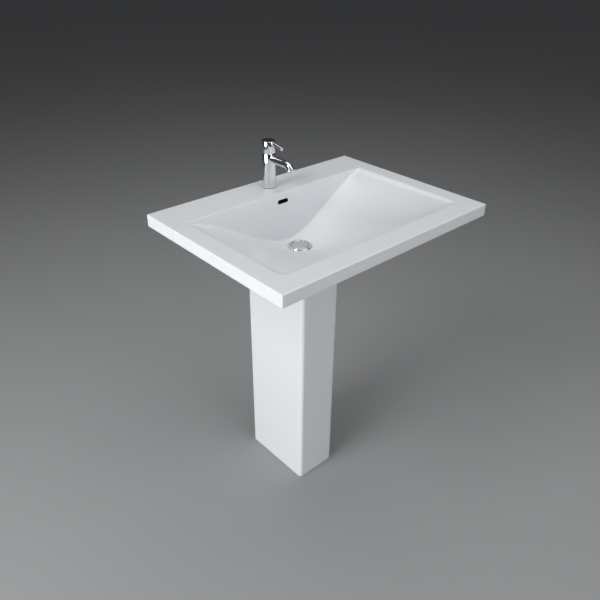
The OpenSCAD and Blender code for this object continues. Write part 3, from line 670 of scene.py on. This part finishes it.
def rim_rings(border, rings, corner_steps):
    """Rings round the basin, outside or inside a grid's border. Each ring is (inset from the outer
    edge, inset of the corners' centres, height). A ring has several points at each corner."""
    all_points = []
    end_x, end_y = max(abs(b[0]) for b in border), max(abs(b[1]) for b in border)
    for inset, centre, height in rings:
        points = []
        radius = max(centre - inset, 0.02)
        for x, y, corner in border:
            sx, sy = (1 if x > 0 else -1), (1 if y > 0 else -1)
            if corner:
                start = {(-1, -1): 180, (1, -1): 270, (1, 1): 0, (-1, 1): 90}[(sx, sy)]
                middle = (sx * (half_x - centre), sy * (wall_y - centre))
                points += [(*p, height) for p in arc(middle, radius, start, start + 90, corner_steps)]
            elif abs(abs(y) - end_y) < 1e-6:
                points.append((x * (half_x - centre) / end_x, (wall_y - inset) * sy, height))
            else:
                points.append(((half_x - inset) * sx, y * (wall_y - centre) / end_y, height))
        all_points.append(points)
    return all_points


def grid_border(grid):
    """Vertex numbers and places round the edge of a grid, anticlockwise from its front left corner."""
    rows, cols = grid.shape[:2]
    loop = [(0, i) for i in range(cols)] + [(j, cols - 1) for j in range(1, rows)]
    loop += [(rows - 1, i) for i in range(cols - 2, -1, -1)] + [(j, 0) for j in range(rows - 2, 0, -1)]
    numbers = [j * cols + i for j, i in loop]
    border = [
        (grid[j, i, 0], grid[j, i, 1], (j in (0, rows - 1)) and (i in (0, cols - 1)))
        for j, i in loop
    ]
    return numbers, border


def grid_faces(rows, cols, offset, flip):
    """Quads of a grid whose vertex numbers start at an offset."""
    faces = []
    for j in range(rows - 1):
        for i in range(cols - 1):
            a = offset + j * cols + i
            quad = (a, a + 1, a + cols + 1, a + cols)
            faces.append(quad[::-1] if flip else quad)
    return faces


def join_border(numbers, border, ring_start, corner_steps, flip):
    """Faces between a grid's border and the first ring beside it, with a fan at each corner."""
    starts, count = [], 0
    for _, _, corner in border:
        starts.append(count)
        count += corner_steps if corner else 1
    faces = []
    total = len(numbers)
    for k in range(total):
        m = (k + 1) % total
        last = starts[k] + (corner_steps - 1 if border[k][2] else 0)
        if border[k][2]:
            for c in range(corner_steps - 1):
                a = ring_start + starts[k] + c
                faces.append((numbers[k], a, a + 1) if flip else (numbers[k], a + 1, a))
        quad = (numbers[k], ring_start + last, ring_start + starts[m], numbers[m])
        faces.append(quad if flip else quad[::-1])
    return faces, count


def basin_shell():
    """Closed shell of the basin: upper face, rounded edge, hanging apron and underside."""
    def no_drop(u, y):
        return np.zeros_like(y)

    def under_drop(u, y):
        return china_t + 1.5 * ease(half_width(y) * (1 - abs(u)) / 30) + 0 * y

    upper_edge, lower_edge = 8, 22
    top = sheet(0, no_drop, 8, rim_z, half_x - upper_edge, wall_y - upper_edge, 3.2, 1.2)
    bottom = sheet(china_t, under_drop, 20, under_z, half_x - lower_edge, wall_y - lower_edge, 7, 3.5)
    rows, cols = top.shape[:2]
    points = [tuple(p) for p in top.reshape(-1, 3)]
    faces = grid_faces(rows, cols, 0, False)
    numbers, border = grid_border(top)
    corner_steps = 7
    edge_r, foot_r, root_r = 3.0, 2.0, 5
    outer_corner, inner_corner = 3.5, 20.0
    foot_z = rim_z - apron_h
    rings = [(side, outer_corner, rim_z - down) for down, side in quarter(edge_r, 0, 90, 7)]
    rings += [(0, outer_corner, z) for z in (rim_z - 12, rim_z - 20)]
    rings += [(inset, outer_corner, foot_z + up) for inset, up in quarter(foot_r, 0, 90, 5)]
    for a in np.linspace(0, 90, 5):
        inset, up = foot_r * sin(radians(a)), foot_r * (1 - cos(radians(a)))
        rings.append((china_t - foot_r + inset, inner_corner, foot_z + up))
    rings += [(china_t + inset, inner_corner, under_z - down) for inset, down in quarter(root_r, 0, 90, 5)]
    ring_start = len(points)
    for ring in rim_rings(border, rings, corner_steps):
        points.extend(ring)
    join, count = join_border(numbers, border, ring_start, corner_steps, True)
    faces += join
    for k in range(len(rings) - 1):
        faces += ring_faces(ring_start + k * count, ring_start + (k + 1) * count, count, True)
    last_ring = ring_start + (len(rings) - 1) * count
    under_start = len(points)
    points.extend(tuple(p) for p in bottom.reshape(-1, 3))
    faces += grid_faces(rows, cols, under_start, True)
    under_numbers = [under_start + n for n in numbers]
    join = join_border(under_numbers, border, last_ring, corner_steps, False)[0]
    return points, faces + join


def inside_shell(x, y):
    """Height inside the shell's thickness, where a piece under the basin ends."""
    u = np.clip(x / bowl_half, -1, 1)
    floor = bowl_floor(u, np.clip(y, bowl_front, bowl_rear), 14) - 7.5
    wall_back, deck_z = bowl_rear + joint_depth, rim_z - joint_depth
    wall = rim_z - (wall_back - y) / wall_lean
    return np.where(y > wall_back, deck_z, np.maximum(floor, np.minimum(wall, deck_z)))


def u_walls(x_out, y_front, y_back, thick, corner_r, back_return=0):
    """Outer and inner line of the pedestal's hollow section, open at the back, point for point."""
    x_in, r_in = x_out - thick, 4
    outer, inner = [], []
    if back_return:
        gap = x_in - back_return
        outer += [(gap, y_back), (gap + 3, y_back)] + arc((x_out - 2.5, y_back - 2.5), 2.5, 90, 0, 6)
        inner += [(gap, y_back - thick), (gap + 3, y_back - thick)]
        inner += arc((x_in - 1.5, y_back - thick - 1.5), 1.5, 90, 0, 6)
    start_out, start_in = (y_back - 6, y_back - thick - 4) if back_return else (y_back, y_back)
    side_out = np.linspace(start_out, y_front + corner_r, 60)[:-1]
    side_in = np.linspace(start_in, y_front + thick + r_in, 60)[:-1]
    outer += [(x_out, y) for y in side_out]
    inner += [(x_in, y) for y in side_in]
    outer += arc((x_out - corner_r, y_front + corner_r), corner_r, 0, -90, 12)
    inner += arc((x_in - r_in, y_front + thick + r_in), r_in, 0, -90, 12)
    for across in np.linspace(1, 0, 12)[1:]:
        outer.append(((x_out - corner_r) * across, y_front))
        inner.append(((x_in - r_in) * across, y_front + thick))
    outer += [(-x, y) for x, y in outer[-2::-1]]
    inner += [(-x, y) for x, y in inner[-2::-1]]
    return np.array(outer), np.array(inner)


def wall_strip(outer, inner, z0, tops, foot_r, top_r):
    """Points and faces of a wall between two lines, from z0 up to a height for each pair of points."""
    thick = np.linalg.norm(outer[len(outer) // 2] - inner[len(inner) // 2])
    section = [(inset, 0, up) for up, inset in quarter(foot_r, 0, 90, 5)]
    section += [(inset, 1, -down) for down, inset in quarter(top_r, 90, 0, 5)]
    section += [(thick - w, at_top, z) for w, at_top, z in section[::-1]]
    points = []
    for o, i, top in zip(outer, inner, tops):
        for w, at_top, z in section:
            x, y = o + (i - o) * w / thick
            points.append((x, y, (top if at_top else z0) + z))
    return points, tube_faces(len(outer), len(section))


def build_basin():
    """The basin's shell with its collar, boss, overflow channel, panel and webs, and its holes."""
    points, faces = basin_shell()
    basin = make("basin_china", points, faces, china_basin)
    sideways = ((0, 0, 0), (1, 0, 0), (0, 1, 0))   # a block's height runs along X
    back_to_wall = ((0, 0, 0), (0, 1, 0), (1, 0, 0))   # a block's height runs along Y, its Y down

    def part(name, shape, turn=None):
        pts, fcs = shape
        if turn is not None:
            pts = placed(pts, *turn)
        return make(name, pts, fcs, china_basin)

    collar_low, panel_low = rim_z - 150, rim_z - 145
    joint_z = rim_z - joint_depth
    outer, inner = u_walls(column_half, ped_lo[1], wall_y - 12, column_wall, column_corner_r)
    tops = [float(min(inside_shell(*o), inside_shell(*i))) for o, i in zip(outer, inner)]
    added = [part("collar", wall_strip(outer, inner, collar_low, tops, 2, 0.5))]
    boss_r = 35
    boss = rounded([(0, boss_low), (boss_r, boss_low), (boss_r, boss_high)], [0, 2, 0], False)
    added.append(turned("boss", boss + [(0, boss_high)], (0, drain_y, 0), china_basin))
    channel_half, channel_low, channel_back = 26, floor_z - 30, duct_back + 6
    channel_floor = block((-channel_half, drain_y, boss_low), (channel_half, channel_back, boss_high), 2)
    added.append(part("channel_floor", channel_floor))

    def wall_middle(z):
        """Place inside the leaning rear wall at a height."""
        return bowl_rear - wall_lean * (rim_z - z) + joint_depth

    channel = rounded([(wall_middle(channel_low), channel_low), (channel_back, channel_low),
                       (channel_back, joint_z), (wall_middle(joint_z), joint_z)], 2.5, steps=4)
    added.append(part("channel", prism(channel, -channel_half, channel_half, 2), sideways))
    # panel against the wall, with its window and its webs
    panel_half, panel_t, window_half, window_top = 190, 14, 52, rim_z - 28
    panel = [(-panel_half, panel_low), (-window_half, panel_low), (-window_half, window_top),
             (window_half, window_top), (window_half, panel_low), (panel_half, panel_low),
             (panel_half, joint_z), (-panel_half, joint_z)]
    panel = rounded([(x, -z) for x, z in panel], [6, 3, 8, 8, 3, 6, 3, 3], steps=5)
    added.append(part("panel", prism(panel, wall_y - panel_t, wall_y, 2), back_to_wall))
    web_front, web_t = bowl_rear + 9, 12
    web = rounded([(wall_y - 10, panel_low), (wall_y - 3, panel_low), (wall_y - 3, joint_z),
                   (web_front, joint_z), (web_front, rim_z - 45)], [2.5, 2.5, 2.5, 2.5, 12], steps=6)
    for x in (-panel_half, panel_half - web_t):
        added.append(part("web", prism(web, x, x + web_t, 2), sideways))
    combine(basin, added, "UNION")

    def bore(name, radius, low, high, y):
        return turned(name, [(0, low), (radius, low), (radius, high), (0, high)], (0, y, 0), china_basin)

    cuts = [bore("seat", 32.2, floor_z - 1, floor_z + 20, drain_y)]
    cuts.append(bore("hole", 23, floor_z - 60, floor_z + 20, drain_y))
    cuts.append(overflow_cutter())
    duct = block((-20, duct_front, duct_low), (20, duct_back, slot_z + 7), 1.5)
    cuts.append(part("duct", duct))
    passage = block((-12, drain_y, duct_low), (12, bowl_rear + 18, floor_z - 14), 1.5)
    cuts.append(part("passage", passage))
    cuts.append(bore("tap_hole", 14, under_z - 5, rim_z + 5, tap_y))
    bolt_x, bolt_z = 140, rim_z - 80
    bolt = [(0, -5), (9, -5), (9, 0), (7, 2), (7, 12), (9, 14), (9, 20), (0, 20)]
    for x in (-bolt_x, bolt_x):
        place = (x, wall_y - panel_t, bolt_z)
        cuts.append(turned("bolt_hole", bolt, place, china_basin, (0, 1, 0), 48))
    combine(basin, cuts, "DIFFERENCE")
    shade(basin.data, 38)
    # faces inside the overflow duct take the near-black clay: painted shade where little light reaches
    basin.data.materials.append(duct_shade_clay)
    for face in basin.data.polygons:
        x, y, z = face.center / MM
        behind = y > bowl_rear - wall_lean * (rim_z - slot_z) + 3.5
        in_duct = abs(x) < 20.5 and y < duct_back + 0.5 and duct_low - 1 < z < slot_z + 7.5
        if behind and in_duct:
            face.material_index = 1
    weighted(basin)
    return fit(basin, "sink", "china", "basin")


def overflow_cutter():
    """Slot with a softly rounded mouth, square to the leaning rear wall."""
    tilt = atan2(wall_lean, 1)
    out = Vector((0, -cos(tilt), sin(tilt)))
    mouth = Vector((0, bowl_rear - wall_lean * (rim_z - slot_z), slot_z))
    slot_r, slot_half = 5, 12
    stadium = []
    for centre, start in ((slot_half, -90), (-slot_half, 90)):
        for a in np.linspace(start, start + 180, 15):
            stadium.append((centre + slot_r * cos(radians(a)), slot_r * sin(radians(a))))
    mouth_r, far_end = 1.3, -24
    rings = [(3.0, mouth_r + 0.03), (0.02, mouth_r)]
    rings += [(-depth, spread) for spread, depth in quarter(mouth_r, 75, 0, 6)]
    rings.append((far_end, 0))
    points = []
    for depth, spread in rings[::-1]:
        points.extend((x, y, depth) for x, y in inset_outline(stadium, -spread))
    faces = tube_faces(len(rings), len(stadium))
    return make("slot", placed(points, mouth, out, (1, 0, 0)), faces, china_basin)


def build_pedestal():
    """Hollow column, open at the back, with a lug and a screw hole inside each side of its foot."""
    outer, inner = u_walls(column_half, ped_lo[1], ped_hi[1], column_wall, column_corner_r, 5)
    points, faces = wall_strip(outer, inner, 0, [ped_hi[2]] * len(outer), 2.2, 2.2)
    pedestal = make("pedestal_china", points, faces, china_pedestal)
    foot_y, lug_half, screw_x = ped_hi[1] - 50, 14, 38
    lugs = []
    for side in (-1, 1):
        x0, x1 = sorted((side * 28, side * 58))
        y0, y1 = foot_y - lug_half, foot_y + lug_half
        lug = rounded([(x0, y0), (x1, y0), (x1, y1), (x0, y1)],
                      [10, 2, 2, 10] if side > 0 else [2, 10, 10, 2], steps=6)
        lug_points, lug_faces = prism(lug, 0, 12, 1.5)
        lugs.append(make("lug", lug_points, lug_faces, china_pedestal))
    combine(pedestal, lugs, "UNION")
    screw = [(0, -5), (3.5, -5), (3.5, 10.5), (6, 12.2), (6, 20), (0, 20)]
    holes = []
    for x in (-screw_x, screw_x):
        holes.append(turned("screw_hole", screw, (x, foot_y, 0), china_pedestal, steps=32))
    combine(pedestal, holes, "DIFFERENCE")
    shade(pedestal.data, 38)
    weighted(pedestal)
    return fit(pedestal, "sink", "china", "pedestal")


build_basin()
build_pedestal()


# ---------- tap ----------

tap_r = (tap_hi[0] - tap_lo[0]) / 2
cup_rise = 10   # from the outer edge of the body's cup up to the pivot
cup_r = sqrt(tap_r ** 2 + cup_rise ** 2) + 0.1
ball_r = cup_r - 0.3
deck = (0, tap_y, rim_z)


def sphere_rows(radius, from_r, to_r, steps=9):
    """Profile rows on the lower half of a ball about the tap's pivot."""
    return [(r, pivot_h - sqrt(radius ** 2 - r * r)) for r in np.linspace(from_r, to_r, steps)]


def build_tap():
    """Mixer body with its hollow top, and the handle: drum with a ball foot, pin lever and button."""
    body_low, body_top, socket_r, cup_edge_r = 1, 89.6, 12.6, tap_r - 1.5
    outer = rounded([(14, body_low), (tap_r, body_low), (tap_r, body_top), (cup_edge_r, body_top - 0.9)],
                    [0, 0.7, 0.5, 0], False)
    cup = sphere_rows(cup_r, cup_edge_r, socket_r)
    profile = [(0, body_low)] + outer + cup + [(socket_r, 50), (0, 50)]
    body = turned("tap_body_chrome", profile, deck, chrome, steps=128)
    fit(body, "sink", "chrome", "tap_body")

    drum_bore_r, drum_top, foot_r = 14.5, 120, tap_r - 0.45
    edge_h = pivot_h - sqrt(ball_r ** 2 - tap_r ** 2)
    bottom = sphere_rows(ball_r, drum_bore_r, foot_r)
    side = rounded([(foot_r, edge_h - 0.25), (tap_r, edge_h + 0.35), (tap_r, drum_top), (0, drum_top)],
                   [0, 0.3, 1.3, 0], False, 7)[1:]
    profile = [(0, 106), (drum_bore_r, 106)] + bottom + side
    drum = turned("handle_drum_chrome", profile, deck, chrome, steps=128)
    fit(drum, "handle", "chrome", "handle_drum")

    tilt = radians(10)
    lever_r, lever_start, lever_end = 4, 20, 52
    start = Vector((0, tap_y - lever_start, rim_z + 114.6))
    along = Vector((0, -cos(tilt), -sin(tilt)))
    length = (lever_end - lever_start) / cos(tilt)
    profile = rounded([(0, -8), (lever_r, -8), (lever_r, length), (0, length)], [0, 0, 1.1, 0], False, 7)
    lever = turned("handle_lever_chrome", profile, start, chrome, along, 64)
    fit(lever, "handle", "chrome", "handle_lever")

    profile = rounded([(0, 0), (2.5, 0), (2.5, 1.2), (0, 1.5)], [0, 0, 0.4, 0], False, 4)
    place = (0, tap_y + tap_r - 1.6, rim_z + pivot_h + 10)
    button = turned("indicator_button", profile, place, dot, (0, 1, 0), 40)
    fit(button, "handle", "indicator", "indicator_plug")


def build_spout():
    """Straight round spout that bends down at its end, and the sleeve of its aerator."""
    height, run, bend_r, angle = 75.5, 66, 20, 50
    spout_r = 9
    path = [(s, height) for s in np.linspace(14.5, run, 8)]
    for a in np.linspace(0, angle, 17)[1:]:
        path.append((run + bend_r * sin(radians(a)), height - bend_r * (1 - cos(radians(a)))))
    tip = path[-1]
    heading = (cos(radians(angle)), -sin(radians(angle)))
    path += [(tip[0] + heading[0] * k, tip[1] + heading[1] * k) for k in (0.8, 2.0, 2.9)]
    centre = [(0, tap_y - s, rim_z + z) for s, z in path]
    radii = [spout_r] * (len(path) - 1) + [spout_r - 0.4]
    points, faces = along_path(centre, radii, 64, (1, 0, 0))
    spout = make("spout_chrome", points, faces, chrome)
    fit(spout, "sink", "chrome", "spout")
    axis = (0, -heading[0], heading[1])
    mouth = (0, tap_y - tip[0], rim_z + tip[1])
    outer = rounded([(9.05, 1), (9.6, 1), (9.6, 7), (7.6, 7), (7.6, 4)], [0, 0.25, 0.7, 0.4, 0], False, 5)
    sleeve = turned("aerator_sleeve_chrome", outer + [(8.9, 3.2)], mouth, chrome, axis, 96, True)
    fit(sleeve, "sink", "chrome", "aerator_sleeve")


build_tap()
build_spout()


# ---------- waste ----------

def threaded(rows, depth, pitch):
    """Shape for a lathe: a screw thread on the rows that are listed."""
    low, high = min(rows), max(rows)
    fade_rows = 8

    def shape(row, r, h, angles):
        if row not in rows:
            return r, h
        phase = (h / pitch - angles / (2 * pi)) % 1
        tooth = np.clip(np.abs(phase - 0.5) * 2.6 - 0.3, 0, 1)
        fade = min(1, (row - low) / fade_rows, (high - row) / fade_rows)
        return r - depth * tooth * fade, h
    return shape


def thread_profile(radius, h0, h1, pitch, per_turn=6):
    """Close rows of a profile along a thread."""
    count = int((h1 - h0) / pitch * per_turn)
    return [(radius, h) for h in np.linspace(h0, h1, count)]


def build_waste():
    """Threaded waste body with its flange and overflow windows, and the domed push plug."""
    z = floor_z
    body_r, bore_r, flange_r, pitch = 21, 16, 31, 2.4
    thread = thread_profile(body_r, z - 76, z - 8, pitch)
    head = rounded([(body_r, z - 6), (22.8, z - 6), (22.8, z), (flange_r, z), (flange_r, z + 0.5),
                    (29, z + 3), (23.3, z + 3), (22.3, z + 2), (22.3, z - 2.5), (bore_r, z - 2.5)],
                   [0, 0.3, 0.3, 0.3, 0.8, 1.2, 0.7, 0.5, 0.3, 0], False, 6)
    profile = [(16.4, z - 77), (20.4, z - 77)] + thread + head
    shape = threaded(range(2, 2 + len(thread)), 1.1, pitch)
    waste = turned("waste_chrome", profile, (0, drain_y, 0), chrome, closed=True, shape=shape)
    window = block((-10, drain_y - 30, z - 24), (10, drain_y + 30, z - 15), 1)
    combine(waste, [make("window", *window, chrome)], "DIFFERENCE")
    shade(waste.data)
    fit(waste, "sink", "chrome", "waste_body")

    seat, rim_r, dome_r, dome_h = z - 2, 21.5, 20.5, 0.8
    dome = [(r, z + 2.5 + dome_h * (1 - (r / dome_r) ** 2)) for r in np.linspace(20.4, 0, 12)]
    rim = rounded([(3.6, seat), (rim_r, seat), (rim_r, z + 2.2), (20.4, z + 2.5)], [0, 0.4, 0.9, 0], False)
    plug = turned("plug_chrome", [(0, seat)] + rim[:-1] + dome, (0, drain_y, 0), chrome)
    fit(plug, "plug", "chrome", "plug_head")


build_waste()


# ---------- CAD nodes that keep their shape ----------

# finish, width of the bevel on the edges, and the nodes
kept = [
    (rubber, 0.1, ["tap_base_seal"]),
    (rubber, 0.2, ["waste_top_seal", "trap_inlet_seal", "trap_cup_seal", "trap_outlet_seal"]),
    (rubber, 0.3, ["pedestal_pads", "fixing_rubber", "plug_seal"]),
    (rubber, 0.4, ["waste_bottom_seal"]),
    (grey_plastic, 0.1, ["aerator_insert"]),
    (grey_plastic, 0.2, ["cartridge_rotor"]),
    (grey_plastic, 0.3, ["cartridge_housing"]),
    (steel, 0.1, ["hinge_pin"]),
    (steel, 0.2, ["handle_grub_screw"]),
    (steel, 0.3, ["fixing_washer", "plug_spindle"]),
    (brass, 0.2, ["valve_spindle_hot", "valve_spindle_cold", "plug_guide"]),
    (brass, 0.3, ["cartridge_nut", "cartridge_stem", "fixing_stud"]),
    (brass, 0.4, ["fixing_nut", "valve_body_hot", "valve_body_cold"]),
    (brass, 0.5, ["tail_nuts"]),
    (brass, 0.6, ["inlet_nuts", "waste_back_nut"]),
    (chrome, 0.1, ["valve_ball_hot", "valve_ball_cold"]),
    (copper, 0, ["tail_hot", "tail_cold"]),
    (white_plastic, 0.3, ["trap_dip_tube"]),
    (white_plastic, 0.4, ["outlet_pipe"]),
    (white_plastic, 0.6, ["trap_inlet_nut", "trap_body", "trap_cup", "trap_outlet_nut"]),
]
for finish, bevel, nodes in kept:
    for node in nodes:
        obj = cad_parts[node]
        obj.data.materials.clear()
        obj.data.materials.append(finish)
        if bevel:
            step = obj.modifiers.new("Soft edges", "BEVEL")
            step.width = bevel * MM
            step.segments = 2
            step.limit_method = "ANGLE"
            step.angle_limit = radians(40)


# ---------- floor, light and camera ----------

def build_stage():
    """Large plain floor."""
    reach = 30000
    points = [(-reach, -reach, 0), (reach, -reach, 0), (reach, reach, 0), (-reach, reach, 0)]
    floor = make("studio_floor", points, [(0, 1, 2, 3)], plain_floor("Studio floor"))


def area_light(name, place, target, width, height, power):
    """White rectangular light at a place, turned towards a target, with its power in watts."""
    data = bpy.data.lights.new(name, "AREA")
    data.shape = "RECTANGLE"
    data.size, data.size_y = width, height
    data.energy = power
    obj = bpy.data.objects.new(name, data)
    obj.location = place
    obj.rotation_euler = (Vector(target) - Vector(place)).to_track_quat("-Z", "Y").to_euler()
    scene.collection.objects.link(obj)


def build_light():
    """Dim surroundings that are brighter on one side, and five lights."""
    world = bpy.data.worlds.new("Studio")
    scene.world = world
    world.use_nodes = True
    nodes, links = world.node_tree.nodes, world.node_tree.links
    shader = nodes["Background"]
    place = nodes.new("ShaderNodeTexCoord")
    facing = nodes.new("ShaderNodeVectorMath")
    facing.operation = "DOT_PRODUCT"
    facing.inputs[1].default_value = Vector((-0.62, -0.62, 0.48)).normalized()
    links.new(place.outputs["Generated"], facing.inputs[0])
    ramp = nodes.new("ShaderNodeValToRGB")
    ramp.color_ramp.elements[0].position = 0.0
    ramp.color_ramp.elements[0].color = (0.10, 0.105, 0.11, 1)
    ramp.color_ramp.elements[1].position = 1.0
    ramp.color_ramp.elements[1].color = (0.62, 0.63, 0.65, 1)
    share = nodes.new("ShaderNodeMapRange")
    share.inputs["From Min"].default_value = -1
    links.new(facing.outputs["Value"], share.inputs["Value"])
    links.new(share.outputs["Result"], ramp.inputs["Fac"])
    links.new(ramp.outputs["Color"], shader.inputs["Color"])
    shader.inputs["Strength"].default_value = 0.17
    area_light("Overhead", (0.3, 0.3, 3.2), (0, 0, 0.7), 2.6, 2.6, 24)
    area_light("Key", (0.35, -0.9, 2.2), (0, -0.1, 0.85), 1.4, 1.4, 6)
    area_light("High left", (-1.9, 0.1, 2.6), (0, 0.1, 0.85), 0.8, 0.8, 18)
    area_light("Left", (-3.0, -0.15, 0.75), (0, -0.1, 0.5), 2.0, 1.1, 58)
    area_light("Front", (-0.2, -3.0, 1.3), (0, 0, 0.6), 2.0, 1.2, 20)
    scene.view_settings.view_transform = "Standard"


def build_camera():
    """Camera at the front left, looking down at the basin."""
    azimuth, elevation, roll = radians(42.32), radians(31.61), radians(0.60)
    forward = Vector((sin(azimuth) * cos(elevation), cos(azimuth) * cos(elevation), -sin(elevation)))
    right = forward.cross(Vector((0, 0, 1))).normalized()
    up = right.cross(forward)
    turned_right = cos(roll) * right + sin(roll) * up
    turned_up = -sin(roll) * right + cos(roll) * up
    data = bpy.data.cameras.new("Camera")
    data.lens = 36.65
    data.sensor_width = 36
    data.clip_start = 0.01
    camera = bpy.data.objects.new("Camera", data)
    turn = Matrix((turned_right, turned_up, -forward)).transposed().to_4x4()
    camera.matrix_world = Matrix.Translation((-0.9359, -0.9591, 1.4216)) @ turn
    scene.collection.objects.link(camera)
    scene.camera = camera


build_stage()
build_light()
build_camera()
